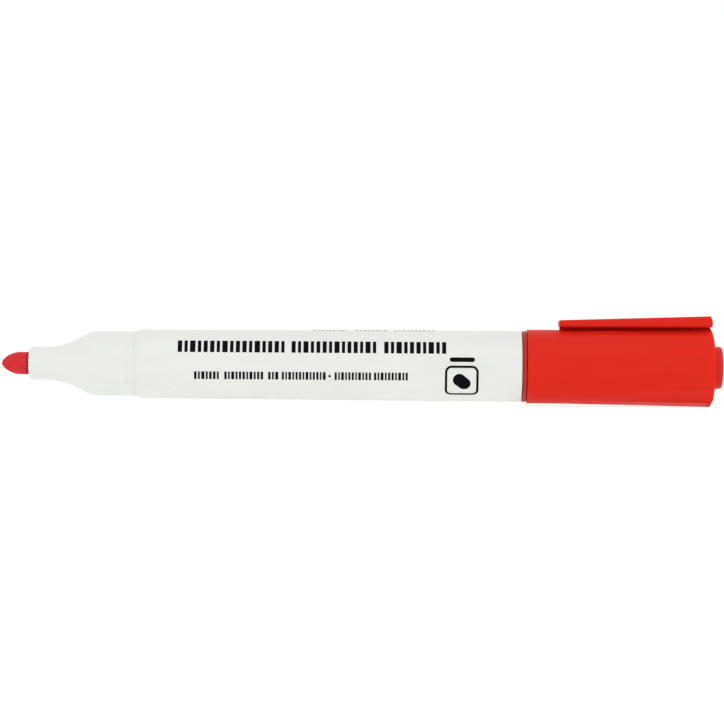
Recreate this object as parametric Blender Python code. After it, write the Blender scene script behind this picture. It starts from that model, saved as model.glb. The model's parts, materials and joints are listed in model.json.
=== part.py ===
"""Whiteboard marker with its cap posted on the rear.

Its pieces are a nib, a nose section, a barrel, an ink reservoir in its film, a rear plug, and a cap with a
liner and a clip. The marker lies level along X, nib towards -X and clip towards +Z. The origin is half way
along it, at the height of its lowest line. Lengths along it are stations: distances from the nib's tip.
"""

import math

import bmesh
import bpy
from mathutils import Vector

MM = 0.001

# Whole marker
LENGTH = 144.0 * MM
SEGMENTS = 48
CLEARANCE = 0.3 * MM
CLOSE_CLEARANCE = 0.2 * MM
MERGE_DISTANCE = 0.001 * MM
SHARP_ANGLE = math.radians(28)

# Nib: a fibre rod with a bullet tip
NIB_RADIUS = 2.24 * MM
NIB_TIP_LENGTH = 3.4 * MM
NIB_END = 38.0 * MM
NIB_END_RADIUS = 1.4 * MM
NIB_END_TAPER = 2.0 * MM
NIB_TIP_RINGS = 9

# Nose section: neck, flare, cylinder and spigot
NOSE_FRONT = 5.45 * MM
NOSE_FRONT_RADIUS = 2.65 * MM
NECK_RADIUS = 3.32 * MM
NECK_CHAMFER = 0.5 * MM
NECK_END = 8.8 * MM
FLARE_RADIUS = 13.45 * MM
FLARE_ANGLE = math.radians(26.5)
FLARE_RINGS = 6
SHOULDER_RADIUS = 6.36 * MM
CYLINDER_RADIUS = 6.42 * MM
BEAD_STATION = 23.8 * MM
BEAD_HALF_WIDTH = 0.45 * MM
BEAD_HEIGHT = 0.12 * MM
LUG_ANGLE = math.radians(115)
LUG_SPAN = math.radians(34)
NOSE_SHOULDER = 26.65 * MM
SPIGOT_RADIUS = 5.62 * MM
SPIGOT_BORE = 5.15 * MM
SPIGOT_LENGTH = 10.3 * MM
SPIGOT_LEAD = 0.4 * MM
NOSE_CAVITY_RADIUS = 4.3 * MM
NOSE_CAVITY_FRONT = 18.5 * MM
NOSE_FUNNEL_FRONT = 14.0 * MM

# Barrel
BARREL_FRONT = 26.95 * MM
BARREL_END = 103.8 * MM
BARREL_FRONT_RADIUS = 6.85 * MM
BARREL_END_RADIUS = 7.1 * MM
BARREL_LIP_RADIUS = 6.45 * MM
BARREL_LIP_LENGTH = 0.85 * MM
BARREL_FRONT_BORE = 5.95 * MM
BARREL_END_BORE = 6.15 * MM
EDGE = 0.1 * MM
RIB_COUNT = 6
RIB_TIP_RADIUS = 5.2 * MM
RIB_FRONT = 38.0 * MM
RIB_END = 91.0 * MM
RIB_RAMP = 0.6 * MM

# Ink reservoir and its film
FILM_RADIUS = 4.85 * MM
FILM_THICKNESS = 0.15 * MM
FILM_GAP = 0.15 * MM
RESERVOIR_FRONT = 29.8 * MM
RESERVOIR_END = 106.2 * MM

# Rear plug: spigot, collar and boss
PLUG_FRONT = 92.0 * MM
PLUG_RADIUS = 5.82 * MM
PLUG_BORE = 5.15 * MM
PLUG_LEAD = 0.6 * MM
COLLAR_FRONT = 104.0 * MM
COLLAR_END = 104.75 * MM
BOSS_END = 116.1 * MM
BOSS_CHAMFER = 0.5 * MM
BOSS_BEAD_STATION = 108.2 * MM
PLUG_LEDGE = 106.5 * MM
PLUG_WELL_RADIUS = 4.0 * MM
PLUG_WALL = 1.1 * MM

# Cap shell
CAP_MOUTH = 104.95 * MM
CAP_MOUTH_RADIUS = 7.375 * MM
CAP_PARALLEL_END = 111.6 * MM
CAP_REAR = 141.55 * MM
CAP_REAR_RADIUS = 7.86 * MM
CAP_BORE = 6.75 * MM
CAP_REAR_BORE = 6.45 * MM
CAP_RING_STATION = 109.3 * MM
CAP_RING_RADIUS = 6.62 * MM
CAP_RING_HALF_WIDTH = 0.4 * MM
CROWN_INNER = 141.0 * MM
CROWN_CHAMFER_STATION = 142.1 * MM
CROWN_CHAMFER_RADIUS = 6.95 * MM
CROWN_TOP = 142.5 * MM
FLUTE_COUNT = 12
FLUTE_PHASE = math.radians(5)
FLUTE_START = 123.0 * MM
FLUTE_FULL = 134.0 * MM
FLUTE_RINGS = 6

# Cap liner: the inner cap that seals the neck, closed by a button in the crown
LINER_RADIUS = 4.23 * MM
LINER_BORE = 3.47 * MM
LINER_MOUTH = 122.6 * MM
LINER_LIP_RADIUS = 4.75 * MM
LINER_LIP_BORE = 4.4 * MM
LINER_LIP_LENGTH = 1.6 * MM
LINER_FLANGE_RADIUS = 5.6 * MM
LINER_FLANGE_THICKNESS = 1.0 * MM
LINER_WALL_END = 142.6 * MM
BUTTON_ROUNDING = 0.7 * MM
BUTTON_RINGS = 4

# Clip: an arm that bends at its root on the cap; heights are above the axis
CLIP_FRONT = 111.3 * MM
CLIP_ROOT = 137.4 * MM
CLIP_END = 141.9 * MM
CLIP_WIDTH = 6.2 * MM
CLIP_UNDERSIDE_FRONT = 7.9 * MM
CLIP_UNDERSIDE_END = 8.02 * MM
CLIP_TOP_FRONT = 9.3 * MM
CLIP_TOP_END = 10.3 * MM
CLIP_JOINT_GAP = 0.25 * MM
CLIP_BEVEL = 0.25 * MM
CLIP_END_SLANT = 0.5 * MM
KEEL_WIDTH = 1.8 * MM
KEEL_END = 135.0 * MM
KEEL_GAP = 0.2 * MM
WEB_WIDTH = 3.0 * MM
WEB_BOTTOM = 6.95 * MM
WEB_END = 141.0 * MM

# The cap's lowest flute ridge touches the surface that the marker lies on.
AXIS_HEIGHT = CAP_REAR_RADIUS * math.cos(FLUTE_PHASE)
# Half way through the clip's thickness at its root
HINGE_HEIGHT = (CLIP_UNDERSIDE_END + CLIP_TOP_END) / 2

WHITE_PLASTIC = ((0.81, 0.82, 0.79), 0.35)
RED_PLASTIC = ((0.74, 0.033, 0.02), 0.32)
COLLAR_PLASTIC = ((0.54, 0.032, 0.028), 0.35)
LINER_PLASTIC = ((0.58, 0.024, 0.018), 0.4)
NIB_FIBRE = ((0.72, 0.02, 0.035), 0.85)
INK_FIBRE = ((0.45, 0.01, 0.02), 0.95)
CLEAR_FILM = ((0.85, 0.85, 0.85), 0.2)


def clear_scene():
    """Removes whatever the scene opened with."""
    for obj in list(bpy.data.objects):
        bpy.data.objects.remove(obj, do_unlink=True)


def plastic(name, look):
    """A material of one colour and roughness, with no metal in it."""
    colour, roughness = look
    material = bpy.data.materials.new(name)
    material.use_nodes = True
    shader = material.node_tree.nodes["Principled BSDF"]
    shader.inputs["Base Color"].default_value = (*colour, 1.0)
    shader.inputs["Roughness"].default_value = roughness
    shader.inputs["Metallic"].default_value = 0.0
    return material


def on_axis(station, height=0.0):
    """The world point at this station, this high above the marker's axis."""
    return Vector((station - LENGTH / 2, 0.0, AXIS_HEIGHT + height))


def joint_frame(name, point, parent=None):
    """An empty at a world point, which carries the pieces that move together."""
    empty = bpy.data.objects.new(name, None)
    empty.empty_display_size = 5 * MM
    bpy.context.collection.objects.link(empty)
    put(empty, point, parent)
    return empty


def put(obj, point, parent):
    """Parents an object and places its origin at a world point."""
    bpy.context.view_layer.update()
    obj.parent = parent
    obj.location = point - (parent.matrix_world.translation if parent else Vector())


def add_object(name, bm, material, point, parent):
    """Turns a bmesh into a shaded object with its origin at a world point."""
    bmesh.ops.recalc_face_normals(bm, faces=bm.faces)
    mesh = bpy.data.meshes.new(name)
    bm.to_mesh(mesh)
    bm.free()
    mesh.materials.append(material)
    mesh.shade_smooth()
    mesh.set_sharp_from_angle(angle=SHARP_ANGLE)
    obj = bpy.data.objects.new(name, mesh)
    bpy.context.collection.objects.link(obj)
    put(obj, point, parent)
    return obj


def turned(outline, origin):
    """A bmesh of (station, radius) points turned about X, joined end to start unless they're on the axis."""
    bm = bmesh.new()
    start = Vector((0.0, -math.sin(FLUTE_PHASE), math.cos(FLUTE_PHASE)))
    points = [start * radius + Vector((station - origin, 0, 0)) for station, radius in outline]
    verts = [bm.verts.new(point) for point in points]
    edges = [bm.edges.new(pair) for pair in zip(verts, verts[1:])]
    if outline[0][1] > 0:
        edges.append(bm.edges.new((verts[-1], verts[0])))
    bmesh.ops.spin(
        bm,
        geom=verts + edges,
        cent=(0, 0, 0),
        axis=(1, 0, 0),
        angle=math.tau,
        steps=SEGMENTS,
        use_merge=True,
    )
    bmesh.ops.remove_doubles(bm, verts=bm.verts, dist=MERGE_DISTANCE)
    return bm


def reshape(bm, new_radius):
    """Moves each vertex to new_radius(x, angle, radius) from X, where angle 0 is the first flute ridge."""
    for vert in bm.verts:
        radius = math.hypot(vert.co.y, vert.co.z)
        if radius <= 0:
            continue
        angle = math.atan2(-vert.co.y, vert.co.z) - FLUTE_PHASE
        wanted = new_radius(vert.co.x, angle, radius)
        vert.co.y *= wanted / radius
        vert.co.z *= wanted / radius


def smooth_step(low, high, value):
    """0 below low, 1 above high, and a smooth rise between them."""
    t = min(max((value - low) / (high - low), 0.0), 1.0)
    return t * t * (3 - 2 * t)


def between(a, b, share):
    return a + (b - a) * share


def bead(station, radius):
    """The three points of a low snap bead."""
    return [
        (station - BEAD_HALF_WIDTH, radius),
        (station, radius + BEAD_HEIGHT),
        (station + BEAD_HALF_WIDTH, radius),
    ]


def nib_outline():
    """The bullet tip, the rod and the tapered end in the reservoir."""
    outline = [(0.0, 0.0)]
    for ring in range(1, NIB_TIP_RINGS + 1):
        share = (ring / NIB_TIP_RINGS) ** 1.5
        radius = NIB_RADIUS * (1 - (1 - share) ** 1.6) ** 0.6
        outline.append((NIB_TIP_LENGTH * share, radius))
    outline.append((NIB_END - NIB_END_TAPER, NIB_RADIUS))
    outline.append((NIB_END, NIB_END_RADIUS))
    outline.append((NIB_END, 0.0))
    return outline


def make_nib(frame):
    bm = turned(nib_outline(), 0.0)
    return add_object("nib", bm, plastic("nib_fibre", NIB_FIBRE), on_axis(0.0), frame)


def nose_outer():
    """The nose section's outside, from its front edge to the end of its spigot."""
    outline = [
        (NOSE_FRONT, NOSE_FRONT_RADIUS),
        (NOSE_FRONT + 0.3 * NECK_CHAMFER, between(NOSE_FRONT_RADIUS, NECK_RADIUS, 0.6)),
        (NOSE_FRONT + NECK_CHAMFER, NECK_RADIUS),
    ]
    for ring in range(FLARE_RINGS + 1):
        turn = FLARE_ANGLE * ring / FLARE_RINGS
        station = NECK_END + FLARE_RADIUS * math.sin(turn)
        outline.append((station, NECK_RADIUS + FLARE_RADIUS * (1 - math.cos(turn))))
    arc_station, arc_radius = outline[-1]
    corner = arc_station + (SHOULDER_RADIUS - arc_radius) / math.tan(FLARE_ANGLE)
    outline.append((corner, SHOULDER_RADIUS))
    outline += bead(BEAD_STATION, between(SHOULDER_RADIUS, CYLINDER_RADIUS, 0.65))
    spigot_end = NOSE_SHOULDER + SPIGOT_LENGTH
    outline += [
        (NOSE_SHOULDER, CYLINDER_RADIUS),
        (NOSE_SHOULDER, SPIGOT_RADIUS),
        (spigot_end - SPIGOT_LEAD, SPIGOT_RADIUS),
        (spigot_end, SPIGOT_RADIUS - 0.5 * SPIGOT_LEAD),
    ]
    return outline


def nose_inner():
    """Its inside, from the spigot's mouth forward to the nib's hole."""
    nib_hole = NIB_RADIUS + CLOSE_CLEARANCE
    ledge = RESERVOIR_FRONT - CLEARANCE
    return [
        (NOSE_SHOULDER + SPIGOT_LENGTH, SPIGOT_BORE),
        (ledge, SPIGOT_BORE),
        (ledge, NOSE_CAVITY_RADIUS),
        (NOSE_CAVITY_FRONT, NOSE_CAVITY_RADIUS),
        (NOSE_FUNNEL_FRONT, nib_hole),
        (NOSE_FRONT, nib_hole),
    ]


def snap_lugs(x, angle, radius):
    """Leaves two arcs of the nose's snap bead, opposite each other, and flattens the rest of it."""
    on_bead = abs(x + NOSE_FRONT - BEAD_STATION) < BEAD_HALF_WIDTH / 2 and radius > SHOULDER_RADIUS
    from_lug = abs((angle - LUG_ANGLE + math.pi / 2) % math.pi - math.pi / 2)
    return radius - BEAD_HEIGHT if on_bead and from_lug > LUG_SPAN / 2 else radius


def make_nose_section(frame, material):
    bm = turned(nose_outer() + nose_inner(), NOSE_FRONT)
    reshape(bm, snap_lugs)
    return add_object("nose_section", bm, material, on_axis(NOSE_FRONT), frame)


def barrel_outline():
    """The barrel's wall as a ring: outside from front to rear, then the bore back to the front."""
    full = BARREL_FRONT + BARREL_LIP_LENGTH
    return [
        (BARREL_FRONT, BARREL_LIP_RADIUS),
        (full, BARREL_FRONT_RADIUS - 0.3 * EDGE),
        (full + 4 * EDGE, BARREL_FRONT_RADIUS),
        (BARREL_END - EDGE, BARREL_END_RADIUS),
        (BARREL_END, BARREL_END_RADIUS - EDGE),
        (BARREL_END, BARREL_END_BORE),
        (RIB_END, BARREL_END_BORE),
        (RIB_END - RIB_RAMP, BARREL_END_BORE),
        (RIB_FRONT + RIB_RAMP, BARREL_FRONT_BORE),
        (RIB_FRONT, BARREL_FRONT_BORE),
        (BARREL_FRONT, BARREL_FRONT_BORE),
    ]


def make_barrel(frame, material):
    """The tube, with ribs in its bore that centre the reservoir and leave air channels."""
    bm = turned(barrel_outline(), BARREL_FRONT)
    pitch = math.tau / RIB_COUNT
    half_rib = math.tau / SEGMENTS * 0.75

    def ribbed(x, angle, radius):
        station = x + BARREL_FRONT
        offset = abs((angle + pitch / 2) % pitch - pitch / 2)
        in_span = RIB_FRONT + RIB_RAMP / 2 < station < RIB_END - RIB_RAMP / 2
        if in_span and radius < BARREL_LIP_RADIUS and offset < half_rib:
            return RIB_TIP_RADIUS
        return radius

    reshape(bm, ribbed)
    return add_object("barrel", bm, material, on_axis(BARREL_FRONT), frame)


def reservoir_outline():
    """The fibre rod, with the pointed hole that the nib makes in its front."""
    radius = FILM_RADIUS - FILM_THICKNESS - FILM_GAP
    hole = NIB_RADIUS + CLEARANCE
    hole_end = NIB_END + CLEARANCE
    return [
        (hole_end, 0.0),
        (hole_end, NIB_END_RADIUS + CLEARANCE),
        (hole_end - NIB_END_TAPER, hole),
        (RESERVOIR_FRONT, hole),
        (RESERVOIR_FRONT, radius),
        (RESERVOIR_END, radius),
        (RESERVOIR_END, 0.0),
    ]


def make_reservoir(frame):
    bm = turned(reservoir_outline(), RESERVOIR_FRONT)
    fibre = plastic("ink_fibre", INK_FIBRE)
    return add_object("ink_reservoir", bm, fibre, on_axis(RESERVOIR_FRONT), frame)


def make_film(frame):
    """The thin wrap round the fibre rod."""
    inner = FILM_RADIUS - FILM_THICKNESS
    outline = [
        (RESERVOIR_FRONT, inner),
        (RESERVOIR_FRONT, FILM_RADIUS),
        (RESERVOIR_END, FILM_RADIUS),
        (RESERVOIR_END, inner),
    ]
    bm = turned(outline, RESERVOIR_FRONT)
    film = plastic("clear_film", CLEAR_FILM)
    return add_object("reservoir_film", bm, film, on_axis(RESERVOIR_FRONT), frame)


def plug_outline():
    """Spigot, collar and boss outside; inside, the well that takes the reservoir's end."""
    boss_radius = CYLINDER_RADIUS
    outer = [
        (PLUG_FRONT, PLUG_BORE),
        (PLUG_FRONT, PLUG_RADIUS - 0.5 * PLUG_LEAD),
        (PLUG_FRONT + PLUG_LEAD, PLUG_RADIUS),
        (COLLAR_FRONT, PLUG_RADIUS),
        (COLLAR_FRONT, BARREL_END_RADIUS - EDGE),
        (COLLAR_FRONT + EDGE, BARREL_END_RADIUS),
        (COLLAR_END - EDGE, BARREL_END_RADIUS),
        (COLLAR_END, BARREL_END_RADIUS - EDGE),
        (COLLAR_END, boss_radius),
    ]
    boss = bead(BOSS_BEAD_STATION, boss_radius) + [
        (BOSS_END - BOSS_CHAMFER, boss_radius),
        (BOSS_END, boss_radius - BOSS_CHAMFER),
        (BOSS_END, 0.0),
    ]
    well = [
        (BOSS_END - PLUG_WALL, 0.0),
        (BOSS_END - PLUG_WALL, PLUG_WELL_RADIUS),
        (PLUG_LEDGE, PLUG_WELL_RADIUS),
        (PLUG_LEDGE, PLUG_BORE),
    ]
    return well + outer + boss


def make_rear_plug(frame):
    bm = turned(plug_outline(), COLLAR_FRONT)
    collar_red = plastic("collar_plastic", COLLAR_PLASTIC)
    return add_object("rear_plug", bm, collar_red, on_axis(COLLAR_FRONT), frame)


def cap_radius(station):
    """The cap's outer radius before its flutes: parallel at the mouth, then wider to the rear."""
    share = (station - CAP_PARALLEL_END) / (CAP_REAR - CAP_PARALLEL_END)
    return between(CAP_MOUTH_RADIUS, CAP_REAR_RADIUS, max(share, 0.0))


def cap_outline():
    """The cap's wall as a ring: outside from mouth to crown, then the inside back to the mouth."""
    crown_hole = LINER_RADIUS + CLOSE_CLEARANCE
    outer = [
        (CAP_MOUTH, CAP_MOUTH_RADIUS - EDGE),
        (CAP_MOUTH + EDGE, CAP_MOUTH_RADIUS),
        (CAP_PARALLEL_END, CAP_MOUTH_RADIUS),
    ]
    for ring in range(FLUTE_RINGS + 1):
        station = between(FLUTE_START, FLUTE_FULL, ring / FLUTE_RINGS)
        outer.append((station, cap_radius(station)))
    outer += [
        (CAP_REAR, CAP_REAR_RADIUS),
        (CROWN_CHAMFER_STATION, CROWN_CHAMFER_RADIUS),
        (CROWN_TOP, crown_hole + EDGE),
        (CROWN_TOP, crown_hole),
    ]
    inner = [
        (CROWN_INNER, crown_hole),
        (CROWN_INNER, CAP_REAR_BORE),
        (CAP_RING_STATION + 2 * CAP_RING_HALF_WIDTH, CAP_BORE),
        (CAP_RING_STATION + CAP_RING_HALF_WIDTH, CAP_RING_RADIUS),
        (CAP_RING_STATION - CAP_RING_HALF_WIDTH, CAP_RING_RADIUS),
        (CAP_RING_STATION - 2 * CAP_RING_HALF_WIDTH, CAP_BORE),
        (CAP_MOUTH + 2 * EDGE, CAP_BORE),
        (CAP_MOUTH, CAP_BORE + 2 * EDGE),
    ]
    return outer + inner


def fluted(x, angle, radius):
    """Flats between twelve ridges, which fade in along the cap and die out on the crown."""
    station = x + CAP_MOUTH
    if radius < CROWN_CHAMFER_RADIUS - EDGE or station < FLUTE_START:
        return radius
    half_pitch = math.pi / FLUTE_COUNT
    offset = angle % (2 * half_pitch) - half_pitch
    flat = radius * math.cos(half_pitch) / math.cos(offset)
    return between(radius, flat, smooth_step(FLUTE_START, FLUTE_FULL, station))


def extruded(outline, width, origin):
    """A bmesh of a side outline of (station, height) points, as wide on both sides of the middle plane."""
    bm = bmesh.new()
    points = [(station - origin.x, -width / 2, height - origin.z) for station, height in outline]
    face = bm.faces.new([bm.verts.new(point) for point in points])
    side = bmesh.ops.extrude_face_region(bm, geom=[face])
    moved = [item for item in side["geom"] if isinstance(item, bmesh.types.BMVert)]
    bmesh.ops.translate(bm, verts=moved, vec=(0.0, width, 0.0))
    return bm


def add_bevel(obj, width):
    bevel = obj.modifiers.new("edges", "BEVEL")
    bevel.width = width
    bevel.segments = 2
    bevel.limit_method = "ANGLE"


def add_helper(name, bm, material, frame, parent):
    """A shape that a Boolean reads and that isn't a piece of its own."""
    helper = add_object(name, bm, material, frame, parent)
    helper.hide_render = True
    helper.display_type = "WIRE"
    return helper


def join(obj, helper):
    union = obj.modifiers.new(helper.name, "BOOLEAN")
    union.operation = "UNION"
    union.solver = "EXACT"
    union.object = helper


def clip_height(front, end, station):
    """The height of one of the clip's slanting faces at a station."""
    return between(front, end, (station - CLIP_FRONT) / (CLIP_END - CLIP_FRONT))


def clip_root_outline():
    """The clip's end over the crown, which is one piece with the cap."""
    front = CLIP_ROOT + CLIP_JOINT_GAP
    top = clip_height(CLIP_TOP_FRONT, CLIP_TOP_END, CLIP_END - CLIP_END_SLANT)
    return [
        (front, clip_height(CLIP_UNDERSIDE_FRONT, CLIP_UNDERSIDE_END, front)),
        (CLIP_END - EDGE, CLIP_UNDERSIDE_END),
        (CLIP_END, CLIP_UNDERSIDE_END + 3 * EDGE),
        (CLIP_END - CLIP_END_SLANT, top),
        (front, clip_height(CLIP_TOP_FRONT, CLIP_TOP_END, front)),
    ]


def clip_web_outline():
    """The narrower web that carries the clip's root on the cap's wall."""
    front = CLIP_ROOT + CLIP_JOINT_GAP
    inside_root = CLIP_UNDERSIDE_END + 3 * EDGE
    return [
        (front + EDGE, WEB_BOTTOM),
        (WEB_END, WEB_BOTTOM),
        (WEB_END, inside_root),
        (front + EDGE, inside_root),
    ]


def make_cap_shell(frame, material):
    bm = turned(cap_outline(), CAP_MOUTH)
    reshape(bm, fluted)
    shell = add_object("cap_shell", bm, material, on_axis(CAP_MOUTH), frame)
    at_mouth = Vector((CAP_MOUTH, 0.0, 0.0))
    root = extruded(clip_root_outline(), CLIP_WIDTH, at_mouth)
    web = extruded(clip_web_outline(), WEB_WIDTH, at_mouth)
    for name, shape in (("clip_web_helper", web), ("clip_root_helper", root)):
        helper = add_helper(name, shape, material, on_axis(CAP_MOUTH), frame)
        if shape is root:
            add_bevel(helper, CLIP_BEVEL)
        join(shell, helper)
    return shell


def clip_arm_outline():
    """The arm's side view."""
    return [
        (CLIP_FRONT, CLIP_UNDERSIDE_FRONT + EDGE),
        (CLIP_FRONT + EDGE, CLIP_UNDERSIDE_FRONT),
        (CLIP_ROOT, clip_height(CLIP_UNDERSIDE_FRONT, CLIP_UNDERSIDE_END, CLIP_ROOT)),
        (CLIP_ROOT, clip_height(CLIP_TOP_FRONT, CLIP_TOP_END, CLIP_ROOT)),
        (CLIP_FRONT + 2 * EDGE, CLIP_TOP_FRONT),
        (CLIP_FRONT, CLIP_TOP_FRONT - 2 * EDGE),
    ]


def clip_keel_outline():
    """The rib that grips under the arm, and runs out where the arm's underside comes down to the cap."""
    front = CLIP_FRONT + 2 * EDGE
    inside_arm = CLIP_UNDERSIDE_END + 3 * EDGE
    return [
        (front, cap_radius(front) + KEEL_GAP),
        (KEEL_END, cap_radius(KEEL_END) + KEEL_GAP),
        (KEEL_END, inside_arm),
        (front, inside_arm),
    ]


def make_clip(frame, material):
    hinge = Vector((CLIP_ROOT, 0.0, HINGE_HEIGHT))
    place = on_axis(CLIP_ROOT, HINGE_HEIGHT)
    clip = add_object("cap_clip", extruded(clip_arm_outline(), CLIP_WIDTH, hinge), material, place, frame)
    keel = extruded(clip_keel_outline(), KEEL_WIDTH, hinge)
    join(clip, add_helper("clip_keel_helper", keel, material, place, frame))
    return clip


def liner_outline():
    """The inner cap: lip, tube, flange under the crown, and the button that closes it."""
    flange_end = CROWN_INNER - CLEARANCE
    outer = [
        (LINER_MOUTH, LINER_LIP_BORE),
        (LINER_MOUTH, LINER_LIP_RADIUS),
        (LINER_MOUTH + LINER_LIP_LENGTH, LINER_RADIUS),
        (flange_end - LINER_FLANGE_THICKNESS, LINER_RADIUS),
        (flange_end - LINER_FLANGE_THICKNESS, LINER_FLANGE_RADIUS),
        (flange_end, LINER_FLANGE_RADIUS),
        (flange_end, LINER_RADIUS),
    ]
    for ring in range(BUTTON_RINGS + 1):
        turn = math.pi / 2 * ring / BUTTON_RINGS
        station = LENGTH - BUTTON_ROUNDING * (1 - math.sin(turn))
        outer.append((station, LINER_RADIUS - BUTTON_ROUNDING * (1 - math.cos(turn))))
    outer.append((LENGTH, 0.0))
    inner = [
        (LINER_WALL_END, 0.0),
        (LINER_WALL_END, LINER_BORE),
        (LINER_MOUTH + LINER_LIP_LENGTH, LINER_BORE),
    ]
    return inner + outer


def make_liner(frame):
    bm = turned(liner_outline(), LINER_MOUTH)
    liner = plastic("liner_plastic", LINER_PLASTIC)
    return add_object("cap_liner", bm, liner, on_axis(LINER_MOUTH), frame)


def main():
    clear_scene()
    white = plastic("white_plastic", WHITE_PLASTIC)
    red = plastic("red_plastic", RED_PLASTIC)
    clip_red = plastic("clip_plastic", RED_PLASTIC)
    barrel_frame = joint_frame("barrel_frame", on_axis(0.0))
    cap_slide = joint_frame("cap_slide", on_axis(CAP_MOUTH), barrel_frame)
    clip_hinge = joint_frame("clip_hinge", on_axis(CLIP_ROOT, HINGE_HEIGHT), cap_slide)
    make_nib(barrel_frame)
    make_nose_section(barrel_frame, white)
    make_barrel(barrel_frame, white)
    make_reservoir(barrel_frame)
    make_film(barrel_frame)
    make_rear_plug(barrel_frame)
    make_cap_shell(cap_slide, red)
    make_liner(cap_slide)
    make_clip(clip_hinge, clip_red)


main()
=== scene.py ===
"""The looks of the whiteboard marker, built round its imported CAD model.

The marker lies along X with its nib towards -X and its clip towards +Z. Places along it are stations:
millimetres from the nib's tip. Radii and heights are millimetres from its axis. Only the last step
turns them into metres.
"""

import json
import math

import bmesh
import bpy
from mathutils import Matrix, Vector, noise

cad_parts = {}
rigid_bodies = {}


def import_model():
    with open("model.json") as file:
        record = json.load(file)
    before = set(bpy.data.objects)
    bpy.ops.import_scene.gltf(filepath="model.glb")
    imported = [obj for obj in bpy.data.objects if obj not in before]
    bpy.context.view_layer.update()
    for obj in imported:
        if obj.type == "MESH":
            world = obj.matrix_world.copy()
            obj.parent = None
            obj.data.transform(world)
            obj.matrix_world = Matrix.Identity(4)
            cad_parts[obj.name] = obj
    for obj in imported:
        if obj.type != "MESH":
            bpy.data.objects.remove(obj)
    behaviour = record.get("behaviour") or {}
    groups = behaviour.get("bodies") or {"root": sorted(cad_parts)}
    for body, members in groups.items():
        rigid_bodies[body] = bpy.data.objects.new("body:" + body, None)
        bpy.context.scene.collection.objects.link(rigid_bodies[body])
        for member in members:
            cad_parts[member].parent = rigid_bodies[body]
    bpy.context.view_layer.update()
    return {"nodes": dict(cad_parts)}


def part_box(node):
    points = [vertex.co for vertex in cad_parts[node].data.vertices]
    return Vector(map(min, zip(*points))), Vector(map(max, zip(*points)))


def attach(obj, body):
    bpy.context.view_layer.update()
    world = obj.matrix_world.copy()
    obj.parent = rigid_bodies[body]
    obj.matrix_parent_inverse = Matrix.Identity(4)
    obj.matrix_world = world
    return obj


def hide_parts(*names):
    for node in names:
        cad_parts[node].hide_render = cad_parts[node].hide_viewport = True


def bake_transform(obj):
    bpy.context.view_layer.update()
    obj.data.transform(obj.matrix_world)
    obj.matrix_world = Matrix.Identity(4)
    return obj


for startup_object in list(bpy.data.objects):
    bpy.data.objects.remove(startup_object, do_unlink=True)

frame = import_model()

MM = 0.001
FLUTE_PHASE = math.radians(5)

# ---------------------------------------------------------------- the frame's places


def x_span(node):
    """A CAD node's front and rear stations."""
    low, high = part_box(node)
    return (low.x - NIB_TIP_X) / MM, (high.x - NIB_TIP_X) / MM


def widest(node):
    """A turned CAD node's largest radius."""
    low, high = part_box(node)
    return (high.y - low.y) / 2 / MM


NIB_TIP_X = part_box("nib")[0].x
AXIS_Z = sum(corner.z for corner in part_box("barrel")) / 2
LENGTH = (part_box("cap_liner")[1].x - NIB_TIP_X) / MM
NIB_RADIUS = widest("nib")
NOSE_FRONT, NOSE_END = x_span("nose_section")
BARREL_FRONT, BARREL_END = x_span("barrel")
BARREL_END_RADIUS = widest("barrel")
PLUG_FRONT, BOSS_END = x_span("rear_plug")
CAP_MOUTH = x_span("cap_shell")[0]
CAP_REAR_RADIUS = widest("cap_shell") / math.cos(FLUTE_PHASE)
LINER_MOUTH = x_span("cap_liner")[0]
LINER_FLANGE_RADIUS = widest("cap_liner")
CLIP_FRONT, CLIP_ROOT = x_span("cap_clip")
CLIP_WIDTH = 2 * widest("cap_clip")
CLIP_TOP_Z = (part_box("cap_shell")[1].z - AXIS_Z) / MM
NIB_END = x_span("nib")[1]

# ---------------------------------------------------------------- sizes of the detail, in millimetres

# Meshes
ROUND = 144
FILLET_STEPS = 5
FLARE_STEPS = 14
NIB_STEPS = 42
SEAM = 0.008

# Nib
NIB_TIP_LENGTH = 3.4
NIB_TAIL_LENGTH = 2.0
NIB_TAIL_RADIUS = 1.4

# Nose section: lip, neck, flare, cylinder with its lugs and groove, spigot and bore
NOSE_HOLE_RADIUS = NIB_RADIUS + 0.06
NOSE_LIP_RADIUS = 2.66
NOSE_LIP_SHOULDER_RADIUS = 3.02
NOSE_NECK_RADIUS = 3.32
NOSE_NECK_END = NOSE_FRONT + 3.35
NOSE_FLARE_RADIUS = 13.45
NOSE_FLARE_ANGLE = math.radians(26.5)
NOSE_CORNER_RADIUS = 6.36
NOSE_CYLINDER_RADIUS = 6.42
NOSE_SHOULDER = BARREL_FRONT - 0.3
AIR_NOTCHES = 6
AIR_NOTCH_LENGTH = 0.95
AIR_NOTCH_DEPTH = 0.22
AIR_NOTCH_HALF_ANGLE = math.radians(7)
LUG_STATION = 24.05
LUG_ANGLE = math.radians(120)
LUG_SPAN = math.radians(34)
LUG_HALF_WIDTH = 0.35
LUG_RING_REACH = 0.3
GROOVE_STATION = 25.45
GROOVE_HALF_WIDTH = 0.14
GROOVE_DEPTH = 0.09
SPIGOT_RADIUS = 5.62
SPIGOT_END_RADIUS = 5.42
SPIGOT_LEAD = 0.4
SPIGOT_BORE = 5.15
CAVITY_FRONT = 18.5
CAVITY_END = 29.5
CAVITY_RADIUS = 4.3
FUNNEL_FRONT = 14.0
FUNNEL_RADIUS = NIB_RADIUS + 0.2

# A snap bead's or lug's height
SNAP_HEIGHT = 0.11

# Barrel
BARREL_FRONT_RADIUS = BARREL_END_RADIUS - 0.25
BARREL_LIP_RADIUS = 6.46
BARREL_LIP_LENGTH = 0.85
BARREL_FRONT_BORE = 5.95
BARREL_END_BORE = 6.15

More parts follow.
